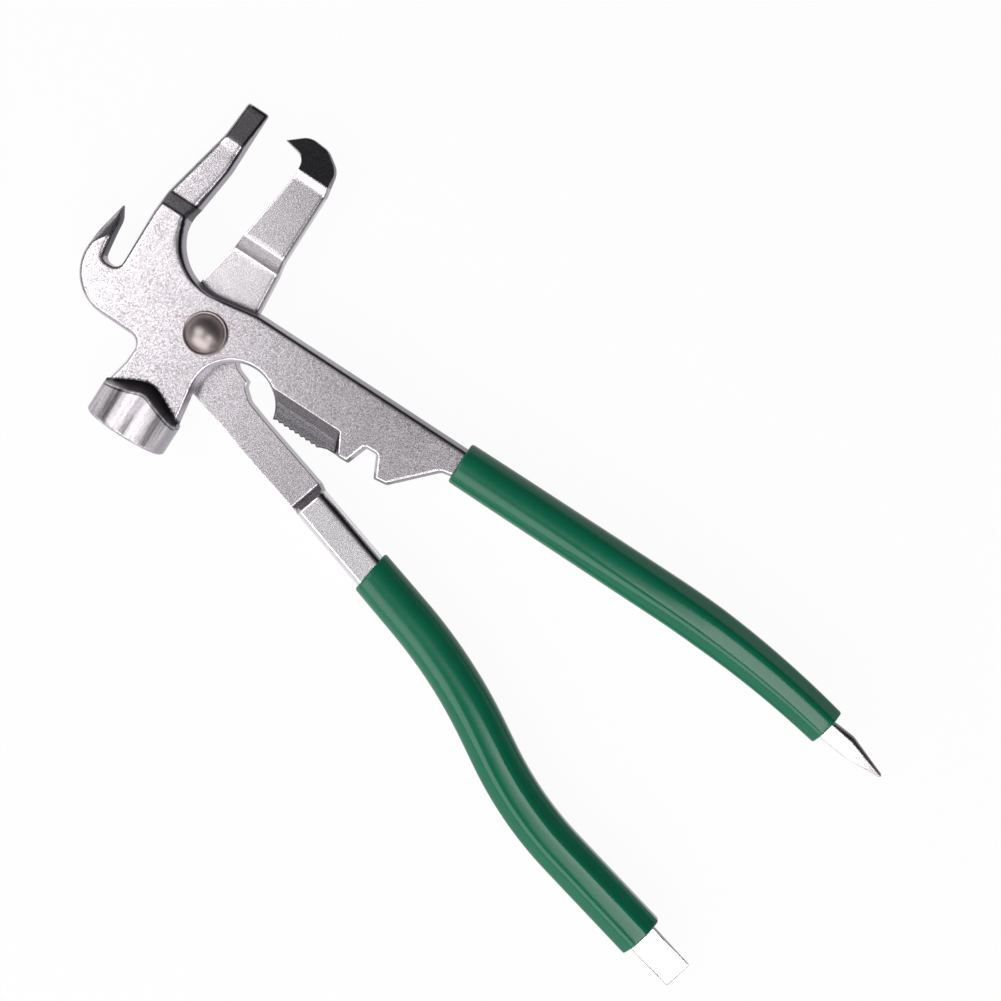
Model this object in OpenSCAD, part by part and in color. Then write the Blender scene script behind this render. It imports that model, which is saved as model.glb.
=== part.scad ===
// Wheel weight pliers: two forged levers crossing on one rivet, with a sleeve pushed over each handle.
// +X runs along the straight handle, +Y towards the jaws, and +Z towards the domed head of the rivet.
// The origin is the centre of the rivet's flat end, on the pivot axis.

/* [Lap joint] */
// Thickness of each lever where they cross
plate_t = 7; // [5:0.5:9]
// Gap between the two levers' mating faces
lap_gap = 0.1; // [0.05:0.05:0.3]
// Diameter of the rivet's shank
rivet_d = 8; // [5:0.5:9]
// Radial clearance of the shank in the lever that turns on it
turn_fit = 0.05; // [0.02:0.01:0.1]
// Radial clearance of the shank in the lever that holds it
hold_fit = 0.02; // [0.01:0.01:0.05]
// Width of the rivet head's rim beyond the shank
rivet_head_rim = 1.85; // [1.2:0.05:2.5]
// Height of the domed head
rivet_head_h = 3.3; // [2.5:0.1:4]
// Height of the straight rim under the dome
rivet_rim_h = 0.6; // [0.3:0.1:1]
// Height of the flat peened end
rivet_tail_h = 1.2; // [0.8:0.1:2]

/* [Fixed jaw and claw] */
// Reach of the fixed jaw from the pivot
jaw_reach = 55.8; // [50:0.2:68]
// Where the fixed jaw steps down to the middle plane
jaw_step_y = 22.2; // [21:0.1:24]
// Length of the sloping bevel at the jaw's tip
jaw_bevel = 10.2; // [7:0.1:12]
// Thickness left at the tip of either jaw
jaw_tip_t = 1.4; // [1:0.1:2.5]
// Width of the slot between the claw and the fixed jaw
slot_w = 4.3; // [4:0.1:4.6]
// Height of the slot's floor above the pivot
slot_y = 1.5; // [0:0.1:3]
// Height of the claw's tip above the pivot
claw_reach = 16.4; // [15:0.1:19]
// Thickness left at the claw's tip
claw_tip_t = 1.6; // [1:0.1:2.5]

/* [Hooked jaw] */
// Reach of the hooked jaw from the pivot
hook_reach = 56.9; // [50:0.2:68]
// Where the hooked jaw steps up to the middle plane
hook_step_y = 22.6; // [21:0.1:24]
// Distance from the ridge on the hooked jaw to its end
hook_bevel = 8.6; // [6:0.1:10]
// Height of the ridge above the jaw's face
hook_ridge = 1; // [0.4:0.1:1.5]

/* [Hammer] */
// Diameter of the hammer
hammer_d = 22.8; // [19:0.2:26]
// Distance from the pivot to the striking face
hammer_reach = 33.3; // [31:0.1:38]
// Distance from the pivot to the back of the hammer
hammer_back = 24.3; // [23.5:0.1:26]
// Distance of the hammer's axis from the pivot axis
hammer_x = -4.4; // [-5.5:0.1:-3.5]
// Chamfer round the striking face
hammer_chamfer = 0.7; // [0.3:0.1:1.5]
// Lean of the bow-shaped wall between the plate and the hammer
bow_lean = 17; // [10:1:30]

/* [Toothed grip] */
// Number of teeth
tooth_count = 9; // [6:1:9]
// Distance between teeth
tooth_pitch = 1.65; // [1.2:0.05:1.65]
// Depth of the teeth
tooth_depth = 0.5; // [0.3:0.05:0.8]
// Thickness of the toothed ledge at its edge
ledge_t = 2.4; // [1.5:0.1:3.5]
// Distance of the teeth below the pivot axis
teeth_y = 9.5; // [8.4:0.1:9.7]
// Radius of the rounded gap beside the pivot
gap_r = 10.7; // [10:0.1:11]

/* [Straight handle] */
// Width of the bar inside the sleeve
straight_bar_w = 8.1; // [7:0.1:8.6]
// Distance from the pivot to the sleeve
straight_grip_from = 72.9; // [72:0.1:80]
// Length of the sleeve
straight_grip_len = 117; // [80:1:150]
// Length of the bar's taper towards its point
straight_taper = 40; // [25:1:50]
// Width of the bar at the sleeve's end
straight_end_w = 6.6; // [6:0.1:7]
// Length of the pointed end past the sleeve
point_len = 19.3; // [14:0.1:24]
// Thickness of the pointed end where it leaves the sleeve
point_t = 5; // [4:0.1:5.5]
// Wall of the sleeve
straight_wall = 2; // [1.2:0.1:2.5]
// Radius that the handle bends to, towards the other handle
straight_bend_r = 275; // [250:5:600]

/* [Curved handle] */
// Width of the bar
curved_bar_w = 9.9; // [8:0.1:11]
// Thickness of the bar
curved_bar_t = 8; // [7:0.1:9]
// Width of the bar's top face between its bevels
curved_face_w = 6.6; // [5:0.1:7.5]
// Length of the bar before its first bend
curved_straight = 41.5; // [40:0.1:45]
// Length of bar that shows before the sleeve
curved_bar_len = 25.9; // [20:0.1:30]
// Length of the sleeve
curved_grip_len = 119.8; // [100:0.2:150]
// Wall of the sleeve
curved_wall = 1.35; // [1:0.05:2]
// Slant of the sleeve's end beside the head
curved_grip_slant = 9; // [0:1:15]
// Length of the pry blade past the sleeve
blade_len = 14.3; // [8:0.1:20]
// Width of the pry blade
blade_w = 8.5; // [6:0.1:9]
// Thickness of the pry blade's edge
blade_edge = 1; // [0.6:0.1:2]
// Bend away from the straight handle
first_bend = 14.4; // [8:0.1:18]
// Radius of that bend
first_bend_r = 140; // [100:5:200]
// Bend back
second_bend = 17.5; // [10:0.1:22]
// Radius of the bend back
second_bend_r = 100; // [70:5:150]

/* [Sleeves] */
// Clearance between a sleeve and its bar
sleeve_fit = 0.08; // [0.05:0.01:0.2]
// Rounding at the ends of a sleeve
sleeve_rim = 0.9; // [0.4:0.1:1.2]
// Squareness of a sleeve's section, from 2 for an ellipse
sleeve_square = 2.9; // [2.6:0.1:4]

/* [Hidden] */
$fn = 72;
steel = [0.8, 0.79, 0.81];
dark_steel = [0.3, 0.28, 0.28];
vinyl = [0.09, 0.39, 0.27];
// Height of the plane where the levers meet, above the rivet's flat end
joint_z = rivet_tail_h + plate_t + lap_gap;
half_gap = lap_gap / 2;
// Half the thickness of both jaws past their steps
jaw_half = plate_t / 2;
straight_z = plate_t / 2;
slot_left = -28.2 - slot_w;
curved_start = [43.85, -21.6];
curved_heading = -16.6;
// Larger than any section, for cutting shapes
big = 60;
// Runs of the slopes that lead from the plate to the curved bar, in front and behind
front_run = 2.2;
back_run = 2.6;
// Length of the blade's root, and of the stretch where it keeps its thickness
blade_root = 5;
blade_flat = 7;
// Line where the plate's face ends over the teeth, and the foot of the wall below it
ledge_y = -2.1;
ledge_wall = 2.2;

function unit(v) = v / norm(v);
function xy(p) = [p.x, p.y];
function wrap(a) = a > 180 ? a - 360 : (a < -180 ? a + 360 : a);
function arc(m, r, from, to, n) = [
    for (i = [0:n]) let(a = from + (to - from) * i / n) [m.x + r * cos(a), m.y + r * sin(a), 0]
];

// A corner [x, y, radius] between its two neighbours, as the points of its rounding
function corner(p, c, s) =
    c.z == 0 ? [xy(c)] :
    let(
        u = unit(xy(p) - xy(c)),
        v = unit(xy(s) - xy(c)),
        half = acos(u * v) / 2,
        cut = min(c.z / tan(half), 0.48 * norm(xy(p) - xy(c)), 0.48 * norm(xy(s) - xy(c))),
        r = cut * tan(half),
        m = xy(c) + unit(u + v) * r / sin(half),
        a = xy(c) + u * cut - m,
        b = xy(c) + v * cut - m,
        from = atan2(a.y, a.x),
        turn = wrap(atan2(b.y, b.x) - from),
        n = max(1, ceil(abs(turn) / 12))
    )
    [for (i = [0:n]) m + r * [cos(from + turn * i / n), sin(from + turn * i / n)]];
function rounded(path) = [
    for (i = [0:len(path) - 1])
        each corner(path[(i + len(path) - 1) % len(path)], path[i], path[(i + 1) % len(path)])
];

// A route is a list of [length, radius], where 0 is straight and a negative radius turns right
function moved(p, d, r) =
    r == 0 ? [p.x + d * cos(p.z), p.y + d * sin(p.z), p.z] :
    let(t = p.z + d / r * 180 / PI)
    [p.x + r * (sin(t) - sin(p.z)), p.y - r * (cos(t) - cos(p.z)), t];
function along(route, p, s, i = 0) =
    i == len(route) - 1 || s <= route[i][0] ? moved(p, s, route[i][1]) :
    along(route, moved(p, route[i][0], route[i][1]), s - route[i][0], i + 1);
function sum(route, n) = n == 0 ? 0 : route[n - 1][0] + sum(route, n - 1);
function beside(p, u) = [p.x - u * sin(p.z), p.y + u * cos(p.z)];

// Route of the straight handle, from a place inside the plate
straight_start = [60, 7.85, 0];
plate_top = 11.9;
straight_route = [[76, 0], [150, -straight_bend_r]];
straight_end = straight_grip_from - straight_start.x + straight_grip_len;
taper_from = straight_end - straight_taper;
straight_widths = [[0, straight_bar_w], [taper_from, straight_bar_w], [straight_end, straight_end_w]];
straight_heights = [[0, plate_t], [taper_from, plate_t], [straight_end, point_t + 0.5]];
straight_stations = [
    11, 30, 50, 70,
    for (s = [taper_from : 5 : straight_end - 5]) s,
    straight_end - 3
];

// Route of the curved handle, from the step in the lever
curved_route = [
    [curved_straight, 0],
    [first_bend * PI / 180 * first_bend_r, -first_bend_r],
    [8.2, 0],
    [second_bend * PI / 180 * second_bend_r, second_bend_r],
    [200, 0]
];
curved_origin = [curved_start.x, curved_start.y, curved_heading];
curved_end = curved_bar_len + curved_grip_len;
curved_stations = [
    0,
    for (i = [0:6]) sum(curved_route, 1) + curved_route[1][0] * i / 6,
    for (i = [0:6]) sum(curved_route, 3) + curved_route[3][0] * i / 6,
    curved_end - 4
];

teeth_from = 26;
teeth = [
    for (i = [0:tooth_count - 1])
        let(x = teeth_from + i * tooth_pitch)
        each [[x + 0.2, -teeth_y, 0], [x + tooth_pitch * 0.65, tooth_depth - teeth_y, 0]]
];
gap_centre = [15.4, -11.6];
gap_start = 196;
gap_end = asin((-teeth_y - gap_centre.y) / gap_r);

hammer_outline = [
    [-23.6, jaw_reach, 0.8],
    [-24.4, jaw_reach - jaw_bevel, 12],
    [-28.9, jaw_step_y + 3.5, 8],
    [slot_left + slot_w, slot_y, 1.9],
    [slot_left, slot_y, 1.9],
    [slot_left - 1.5, claw_reach - 3.6, 5],
    [-36.4, claw_reach, 0.3],
    [-38.2, 7, 15],
    each arc([-25.9, 1.75], 12.5, 180, 270, 12),
    [-13.7, -10.9, 6.5],
    [-13.9, -17.5, 6],
    [hammer_x - hammer_d / 2 + 0.3, -hammer_back - 0.5, 0],
    [hammer_x + hammer_d / 2 - 0.3, -hammer_back - 0.5, 0],
    each arc(gap_centre, gap_r, gap_start, gap_end, 20),
    each teeth,
    [42, -8.4, 0.8],
    [48.7, -8.2, 0.5],
    [50.7, -2.4, 0.5],
    [53.6, -2.3, 0.5],
    [56.4, -8, 0.5],
    [60.2, -7.5, 1],
    [straight_grip_from - 2.6, 3, 2],
    [straight_grip_from - sleeve_fit, 3, 0],
    [straight_grip_from - sleeve_fit, plate_top, 0],
    [8.8, plate_top, 20],
    [-4.5, 9.6, 0],
    each arc([-4.8, 23.95], 14.35, 264, 182, 10),
    [-17.4, jaw_reach - 18, 10],
    [-17.3, jaw_reach, 0.8]
];

hook_outline = [
    [-10.4, hook_reach - 4.1, 0.2],
    [-3.9, hook_reach - 5.4, 3.2],
    [-3.5, hook_reach - 10.6, 6],
    [-5.9, hook_reach - 28.4, 20],
    [-9.9, 9.4, 0],
    [-12.4, -1.5, 8],
    [-7.5, -13, 8],
    [3.7, -15.7, 6],
    [17.8, -19.2, 30],
    [23, -21, 10],
    beside(curved_origin, -curved_bar_w / 2 + 0.3),
    beside(curved_origin, curved_bar_w / 2 - 0.6),
    [25.1, -11.3, 30],
    [18.2, -9.1, 4],
    [15.3, -6.6, 2],
    [15.1, -5.1, 0.4],
    [10, -3.2, 3],
    [7.9, 11.5, 20],
    [6.8, 25, 30],
    [6.7, hook_reach - 10.4, 8],
    [5.5, hook_reach - 3.6, 5],
    [0.6, hook_reach - 0.3, 5],
    [-5.4, hook_reach + 0.2, 5]
];
function flat(path) = [for (p = path) len(p) == 3 ? p : [p.x, p.y, 0]];

// Side views of the jaws, as [y, z] from the joint plane
hammer_jaw_side = [
    [14, half_gap],
    [jaw_step_y - 3, half_gap],
    [jaw_step_y + 0.5, half_gap - jaw_half],
    [jaw_reach - jaw_bevel, -jaw_half + 0.3],
    [jaw_reach + 1, -jaw_tip_t / 2],
    [jaw_reach + 1, jaw_tip_t / 2],
    [jaw_reach - jaw_bevel, jaw_half - 0.1],
    [jaw_step_y + 3.5, jaw_half],
    [jaw_step_y, plate_t],
    [14, plate_t]
];
hook_jaw_side = [
    [14, -half_gap],
    [hook_step_y, -half_gap],
    [hook_step_y + 3.7, jaw_half],
    [hook_reach - hook_bevel - 2, jaw_half - 0.6],
    [hook_reach - hook_bevel, jaw_half - 0.6 + hook_ridge],
    [hook_reach + 1, jaw_tip_t / 2],
    [hook_reach + 1, -jaw_tip_t / 2],
    [hook_reach - hook_bevel, -jaw_half + 0.2],
    [hook_step_y + 3, -jaw_half],
    [hook_step_y - 1, -plate_t],
    [14, -plate_t]
];

// An extrusion of a side view along X
module side_on(path, from, to) {
    translate([from, 0, 0])
        rotate([90, 0, 90])
            linear_extrude(to - from)
                polygon(path);
}

// Space behind a wall through the point p that faces a and leans back
module behind_wall(p, a) {
    translate([p.x, p.y, plate_t])
        rotate([0, 0, a])
            rotate([bow_lean, 0, 0])
                translate([-big / 2, -big, -big / 2])
                    cube(big);
}

module hammer_cylinder(from) {
    translate([hammer_x, 0, plate_t / 2])
        rotate([90, 0, 0]) {
            translate([0, 0, from])
                cylinder(d = hammer_d, h = hammer_reach - hammer_chamfer - from);
            translate([0, 0, hammer_reach - hammer_chamfer])
                cylinder(d1 = hammer_d, d2 = hammer_d - 2 * hammer_chamfer, h = hammer_chamfer);
        }
}

module hammer() {
    hammer_cylinder(hammer_back);
    // Over the plate the hammer starts at a bow-shaped wall
    intersection() {
        hammer_cylinder(hammer_back - 7);
        behind_wall([-6.3, -19], 28);
        behind_wall([-3.3, -18.7], -24);
        translate([-big / 2, -big, plate_t - 1])
            cube(big);
    }
}

// Hollow over the teeth, as deep as the ledge leaves
module ledge_recess() {
    intersection() {
        linear_extrude(plate_t + 2)
            polygon([
                [17, ledge_y],
                [42.7, ledge_y],
                [45.3, ledge_y - 4.8],
                [45.3, -teeth_y - 2],
                [17, -teeth_y - 2]
            ]);
        side_on(
            [
                [ledge_y, plate_t],
                [ledge_y - ledge_wall, ledge_t + 1.5],
                [-teeth_y - 1, ledge_t - 0.2],
                [-teeth_y - 3, ledge_t],
                [-teeth_y - 3, plate_t + 1],
                [ledge_y, plate_t + 1]
            ],
            15, 47
        );
    }
}

// Slope that thins the claw towards its tip
module claw_bevel() {
    fall = atan((plate_t - claw_tip_t) / (claw_reach - 6.5));
    translate([-37.4, 3.8, plate_t])
        rotate([0, 0, 54])
            rotate([-fall, 0, 0])
                translate([-2, 0, 0])
                    cube([14, 30, 12]);
}

// The bar of the straight handle, larger all round by extra
module straight_bar(extra = 0) {
    stations = straight_stations;
    p = [for (s = stations) along(straight_route, straight_start, s)];
    w = [for (s = stations) lookup(s, straight_widths) / 2 + extra];
    h = [for (s = stations) lookup(s, straight_heights) / 2 + extra];
    n = len(stations);
    intersection() {
        translate([0, 0, -big / 2])
            linear_extrude(big)
                polygon([
                    for (i = [0:n - 1]) beside(p[i], -w[i]),
                    for (i = [n - 1:-1:0]) beside(p[i], w[i])
                ]);
        rotate([90, 0, 0])
            translate([0, 0, -big / 2])
                linear_extrude(big)
                    polygon([
                        for (i = [0:n - 1]) [p[i].x, straight_z - h[i]],
                        for (i = [n - 1:-1:0]) [p[i].x, straight_z + h[i]]
                    ]);
    }
}

// Section of the curved bar [across, up], larger all round by extra
function bar_octagon(extra) =
    let(w = curved_bar_w / 2 + extra, h = curved_bar_t / 2 + extra, f = curved_face_w / 2 + extra / 2)
    [[w, -1.2], [w, 1.2], [f, h], [-f, h], [-w, 1.2], [-w, -1.2], [-f, -h], [f, -h]];

module curved_bar() {
    half = curved_bar_t / 2;
    difference() {
        skin([for (s = curved_stations) bar_ring(s, 0)]);
        // Slope up from the plate to the bar's face
        on_curved_bar(20)
            polygon([
                [-1, -half_gap],
                [0, -half_gap],
                [front_run, half],
                [front_run, half + 1],
                [-1, half + 1]
            ]);
    }
    // Slope from the back of the plate to the back of the bar
    on_curved_bar(curved_face_w + 1.5)
        polygon([
            [-1, -plate_t],
            [0.2, -plate_t],
            [0.2 + back_run, 0.3 - half],
            [0.2 + back_run, 1 - half],
            [-1, 1 - half]
        ]);
    blade(0);
}

// An extrusion across the start of the curved bar, of a shape in its side view
module on_curved_bar(w) {
    translate([curved_origin.x, curved_origin.y, 0])
        rotate([0, 0, curved_origin.z])
            rotate([90, 0, 0])
                linear_extrude(w, center = true)
                    children();
}

function bar_ring(s, extra) = ring(along(curved_route, curved_origin, s), 0, bar_octagon(extra));

// The flat pry blade at the end of the curved handle
module blade(extra) {
    p = along(curved_route, curved_origin, curved_end - blade_root);
    root = curved_bar_t / 4 + extra;
    translate([p.x, p.y, 0])
        rotate([0, 0, p.z])
            rotate([90, 0, 0])
                linear_extrude(blade_w + 2 * extra, center = true)
                    polygon([
                        [0, -root],
                        [blade_flat, -root],
                        [blade_root + blade_len, -blade_edge / 2],
                        [blade_root + blade_len, blade_edge / 2],
                        [blade_flat, root],
                        [0, root]
                    ]);
}

// The pointed end of the straight handle
module point(extra) {
    p = along(straight_route, straight_start, straight_end);
    half = point_t / 2 + extra;
    translate([p.x, p.y, straight_z])
        rotate([0, 0, p.z])
            intersection() {
                translate([0, 0, -plate_t / 2])
                    linear_extrude(plate_t)
                        polygon([
                            [-4, -3.1 - extra],
                            [1.8, -3.1 - extra],
                            [8.7, -2.5],
                            [point_len - 0.6, 0.3],
                            [point_len, 0.7],
                            [point_len - 0.6, 1],
                            [6.9, 3.2],
                            [0.7, 2.4 + extra],
                            [-4, 2.4 + extra]
                        ]);
                rotate([90, 0, 0])
                    linear_extrude(20, center = true)
                        polygon([
                            [-4, -half],
                            [point_len * 0.4, -half],
                            [point_len, -0.4],
                            [point_len, 0.4],
                            [point_len * 0.4, half],
                            [-4, half]
                        ]);
            }
}

module hammer_lever() {
    color(steel)
        translate([0, 0, joint_z])
            difference() {
                union() {
                    translate([0, 0, half_gap])
                        linear_extrude(plate_t - half_gap)
                            intersection() {
                                polygon(rounded(flat(hammer_outline)));
                                translate([-45, -40])
                                    square([130, 40 + 18]);
                            }
                    intersection() {
                        translate([0, 0, -big / 2])
                            linear_extrude(big)
                                polygon(rounded(flat(hammer_outline)));
                        side_on(hammer_jaw_side, -30.5, -12);
                    }
                    hammer();
                    straight_bar();
                    point(0);
                }
                ledge_recess();
                claw_bevel();
                translate([0, 0, -plate_t])
                    cylinder(d = rivet_d + 2 * hold_fit, h = 3 * plate_t);
            }
}

module hook_lever() {
    color(steel)
        translate([0, 0, joint_z])
            difference() {
                union() {
                    translate([0, 0, -plate_t])
                        linear_extrude(plate_t - half_gap)
                            intersection() {
                                polygon(rounded(flat(hook_outline)));
                                translate([-45, -40])
                                    square([130, 40 + 18]);
                            }
                    intersection() {
                        translate([0, 0, -big / 2])
                            linear_extrude(big)
                                polygon(rounded(flat(hook_outline)));
                        side_on(hook_jaw_side, -12, 10);
                    }
                    curved_bar();
                }
                translate([0, 0, -2 * plate_t])
                    cylinder(d = rivet_d + 2 * turn_fit, h = 3 * plate_t);
            }
}

module pivot_rivet() {
    head_r = rivet_d / 2 + rivet_head_rim;
    dome_h = rivet_head_h - rivet_rim_h;
    dome_r = (head_r * head_r + dome_h * dome_h) / (2 * dome_h);
    head_z = joint_z + plate_t;
    color(dark_steel) {
        cylinder(r1 = head_r - 0.5, r2 = head_r, h = 0.5);
        translate([0, 0, 0.5])
            cylinder(r = head_r, h = rivet_tail_h - 0.5);
        cylinder(d = rivet_d, h = head_z + 0.1);
        translate([0, 0, head_z])
            cylinder(r = head_r, h = rivet_rim_h);
        intersection() {
            translate([0, 0, head_z + rivet_head_h - dome_r])
                sphere(r = dome_r);
            translate([0, 0, head_z])
                cylinder(r = head_r, h = rivet_head_h + 1);
        }
    }
}

// Points of a section [across, up] stood at a place, with its ends slanted back on the left
function ring(p, z, section, slant = 0) = [
    for (q = section)
        let(c = beside(p, q.x), back = -q.x * tan(slant))
        [c.x + back * cos(p.z), c.y + back * sin(p.z), z + q.y]
];
function oval(w, h) = [
    for (k = [0:23])
        let(a = 15 * k, e = 2 / sleeve_square)
        [w * sign(cos(a)) * pow(abs(cos(a)), e), h * sign(sin(a)) * pow(abs(sin(a)), e)]
];

// A solid through rings that all have the same number of points
module skin(rings) {
    n = len(rings[0]);
    last = (len(rings) - 1) * n;
    sides = [
        for (i = [0:len(rings) - 2])
            for (k = [0:n - 1])
                let(a = i * n + k, b = i * n + (k + 1) % n)
                each [[a, b + n, b], [a, a + n, b + n]]
    ];
    ends = [[for (k = [0:n - 1]) k], [for (k = [n - 1:-1:0]) last + k]];
    polyhedron([for (r = rings) each r], concat(sides, ends));
}

// Places for a sleeve's rings, with its two ends drawn in
function ring_places(from, to, step) = concat(
    [[from, 0.75], [from + 0.25 * sleeve_rim, 0.25], [from + sleeve_rim, 0]],
    [for (s = [from + 2 * sleeve_rim : step : to - step / 2 - sleeve_rim]) [s, 0]],
    [[to - sleeve_rim, 0], [to - 0.25 * sleeve_rim, 0.25], [to, 0.75]]
);

module hammer_lever_grip() {
    from = straight_grip_from - straight_start.x;
    color(vinyl)
        translate([0, 0, joint_z])
            difference() {
                skin([
                    for (q = ring_places(from, straight_end, 6))
                        ring(
                            along(straight_route, straight_start, q[0]),
                            straight_z,
                            oval(
                                lookup(q[0], straight_widths) / 2 + straight_wall - q[1] * sleeve_rim,
                                lookup(q[0], straight_heights) / 2 + straight_wall - q[1] * sleeve_rim
                            )
                        )
                ]);
                straight_bar(sleeve_fit);
                point(sleeve_fit);
            }
}

module hook_lever_grip() {
    w = curved_bar_w / 2 + curved_wall;
    h = curved_bar_t / 2 + curved_wall;
    color(vinyl)
        translate([0, 0, joint_z])
            difference() {
                skin([
                    for (q = ring_places(curved_bar_len, curved_end, 5))
                        ring(
                            along(curved_route, curved_origin, q[0]),
                            0,
                            oval(w - q[1] * sleeve_rim, h - q[1] * sleeve_rim),
                            curved_grip_slant * max(0, 1 - (q[0] - curved_bar_len) / 8)
                        )
                ]);
                skin([
                    bar_ring(curved_bar_len - 2.5, sleeve_fit),
                    for (i = [1:len(curved_stations) - 2]) bar_ring(curved_stations[i], sleeve_fit),
                    bar_ring(curved_end - 4 + sleeve_fit, sleeve_fit)
                ]);
                blade(sleeve_fit);
            }
}

hammer_lever();
hook_lever();
pivot_rivet();
hammer_lever_grip();
hook_lever_grip();
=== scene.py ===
# Wheel weight pliers: two forged levers on one rivet, with a vinyl sleeve on each handle
import math

import bpy
import numpy as np
from mathutils import Matrix, Vector, geometry


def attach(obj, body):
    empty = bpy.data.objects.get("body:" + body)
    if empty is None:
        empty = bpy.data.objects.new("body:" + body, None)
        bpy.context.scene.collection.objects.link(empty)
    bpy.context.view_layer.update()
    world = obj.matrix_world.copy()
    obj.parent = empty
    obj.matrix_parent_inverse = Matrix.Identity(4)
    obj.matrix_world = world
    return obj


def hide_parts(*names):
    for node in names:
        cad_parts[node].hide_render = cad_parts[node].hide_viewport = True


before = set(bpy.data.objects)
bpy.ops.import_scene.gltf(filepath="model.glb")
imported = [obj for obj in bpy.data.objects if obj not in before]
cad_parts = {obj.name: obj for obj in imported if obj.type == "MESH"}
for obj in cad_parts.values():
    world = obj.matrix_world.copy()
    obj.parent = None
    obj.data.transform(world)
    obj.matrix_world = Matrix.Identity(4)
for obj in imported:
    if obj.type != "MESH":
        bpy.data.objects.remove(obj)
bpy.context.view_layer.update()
scene = bpy.context.scene
scene.view_settings.view_transform = "Standard"

mm = 0.001
jointZ = 8.3  # height of the plane where the levers meet, in mm above the rivet's flat end
hammerMid = 3.5  # mid-plane of the hammer lever and its handle, above the plane where the levers meet
print("frame loaded")


# small shape helpers, all in mm and in the plane of the levers

def arcPoints(middle, radius, start, end, steps):
    angles = [math.radians(start + (end - start) * i / steps) for i in range(steps + 1)]
    return [(middle[0] + radius * math.cos(a), middle[1] + radius * math.sin(a)) for a in angles]


def roundCorners(path, degrees=5):
    # a corner is (x, y), or (x, y, radius) where it is rounded
    loop = []
    for i, corner in enumerate(path):
        here = Vector(corner[:2])
        if len(corner) < 3:
            loop.append(here)
            continue
        before, after = Vector(path[i - 1][:2]) - here, Vector(path[(i + 1) % len(path)][:2]) - here
        u, v = before.normalized(), after.normalized()
        half = u.angle(v) / 2
        cut = min(corner[2] / math.tan(half), 0.48 * before.length, 0.48 * after.length)
        radius = cut * math.tan(half)
        middle = here + (u + v).normalized() * radius / math.sin(half)
        first, last = here + u * cut - middle, here + v * cut - middle
        start = math.atan2(first.y, first.x)
        turn = (math.atan2(last.y, last.x) - start + math.pi) % (2 * math.pi) - math.pi
        steps = max(1, math.ceil(abs(math.degrees(turn)) / degrees))
        for k in range(steps + 1):
            a = start + turn * k / steps
            loop.append(middle + radius * Vector((math.cos(a), math.sin(a))))
    return loop


def evenLoop(loop, step):
    points = []
    for a, b in zip(loop, loop[1:] + loop[:1]):
        pieces = max(1, math.ceil((b - a).length / step))
        points += [a.lerp(b, k / pieces) for k in range(pieces)]
    return np.array([p[:] for p in points])


def loopDistance(points, loop):
    ends = np.roll(loop, -1, axis=0)
    along = ends - loop
    lengths = (along ** 2).sum(1)
    nearest = np.full(len(points), 1e9)
    for first in range(0, len(points), 4000):
        block = points[first:first + 4000, None, :] - loop[None]
        t = np.clip((block * along).sum(2) / lengths, 0, 1)
        gap = block - t[..., None] * along
        nearest[first:first + 4000] = np.sqrt((gap ** 2).sum(2).min(1))
    return nearest


def insideLoop(points, loop):
    ends = np.roll(loop, -1, axis=0)
    inside = np.zeros(len(points), bool)
    for (ax, ay), (bx, by) in zip(loop, ends):
        if ay == by:
            continue
        crosses = (ay > points[:, 1]) != (by > points[:, 1])
        inside ^= crosses & (points[:, 0] < (bx - ax) * (points[:, 1] - ay) / (by - ay) + ax)
    return inside


def softMin(a, b, blend):
    h = np.maximum(blend - np.abs(a - b), 0) / blend
    return np.minimum(a, b) - h * h * blend / 4


def softMax(a, b, blend):
    return -softMin(-a, -b, blend)


def softProfile(at, points, blur=0.3):
    # points are (place, height), with the corners between them rounded off
    places, heights = zip(*points)
    return sum(np.interp(at + k * blur, places, heights) for k in (-1, -0.5, 0, 0.5, 1)) / 5


def moveAlong(place, distance, radius):
    x, y, heading = place
    a = math.radians(heading)
    if radius == 0:
        return x + distance * math.cos(a), y + distance * math.sin(a), heading
    b = a + distance / radius
    right, forward = radius * (math.sin(b) - math.sin(a)), radius * (math.cos(b) - math.cos(a))
    return x + right, y - forward, math.degrees(b)


def placeOn(handle, distance):
    place = handle["start"]
    for length, radius in handle["route"][:-1]:
        if distance <= length:
            return moveAlong(place, distance, radius)
        place = moveAlong(place, length, radius)
        distance -= length
    return moveAlong(place, distance, handle["route"][-1][1])


def beside(place, across):
    a = math.radians(place[2])
    return place[0] - across * math.sin(a), place[1] + across * math.cos(a)


# a forged plate: two height fields that meet at the parting line round its outline

forging = {
    # rows of points along the outline and along each crease
    "rowDepths": (0.1, 0.22, 0.36, 0.52, 0.7, 0.9, 1.15, 1.45, 1.8, 2.2),
    "creaseRows": (-0.75, -0.45, -0.2, 0, 0.2, 0.45, 0.75),
    "creaseStep": 0.4,
    "clearOfCrease": 0.3,
    "shoulderSlope": 0.5,
    "probe": 0.8,  # depth at which the wall's slope is taken
}


def rowPoints(loop):
    chord = np.roll(loop, -1, axis=0) - np.roll(loop, 1, axis=0)
    inward = np.stack([-chord[:, 1], chord[:, 0]], 1) / np.linalg.norm(chord, axis=1)[:, None]
    rows = []
    for depth in forging["rowDepths"]:
        row = loop + inward * depth
        row = row[insideLoop(row, loop)]
        rows.append(row[loopDistance(row, loop) > depth * 0.96])
    return rows


def creasePoints(creases, loop):
    rows = []
    for crease in creases:
        for a, b in zip(crease, crease[1:]):
            a, b = np.array(a), np.array(b)
            length = np.linalg.norm(b - a)
            side = np.array([a[1] - b[1], b[0] - a[0]]) / length
            t = np.linspace(0, 1, max(2, int(length / forging["creaseStep"])))[:, None]
            rows += [a + (b - a) * t + side * off for off in forging["creaseRows"]]
    points = np.concatenate(rows)
    points = points[insideLoop(points, loop)]
    return points[loopDistance(points, loop) > 0.08]


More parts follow.
